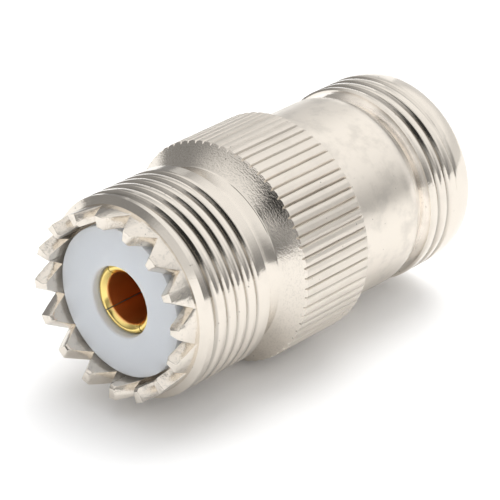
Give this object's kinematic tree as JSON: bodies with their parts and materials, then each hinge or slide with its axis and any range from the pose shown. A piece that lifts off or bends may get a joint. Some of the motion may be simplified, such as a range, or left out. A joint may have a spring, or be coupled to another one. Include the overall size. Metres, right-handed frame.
{
  "type": "coax adapter",
  "caption": "Straight coaxial adapter: a serrated, threaded UHF-type socket at one end, a threaded N-type socket at the other, and a knurled grip between them.",
  "frame": {"origin": "on the axis, in the plane of the rim of the N end, on which the adapter stands", "axes": "+Z along the axis, from the N end to the serrated UHF end; X and Y across it, with no preferred turn"},
  "size_m": [0.0176, 0.0176, 0.0333],
  "materials": {
    "nickel_plate": "bright nickel plate on turned brass, with fine turning marks",
    "white_insulator": "smooth waxy white fluoropolymer",
    "gold_plate": "polished gold plate"
  },
  "bodies": {
    "root": {"knurled_body": "nickel_plate", "n_jack_shell": "nickel_plate", "uhf_insulator": "white_insulator", "n_insulator": "white_insulator", "uhf_contact": "gold_plate", "n_contact": "gold_plate"}
  },
  "joints": []
}
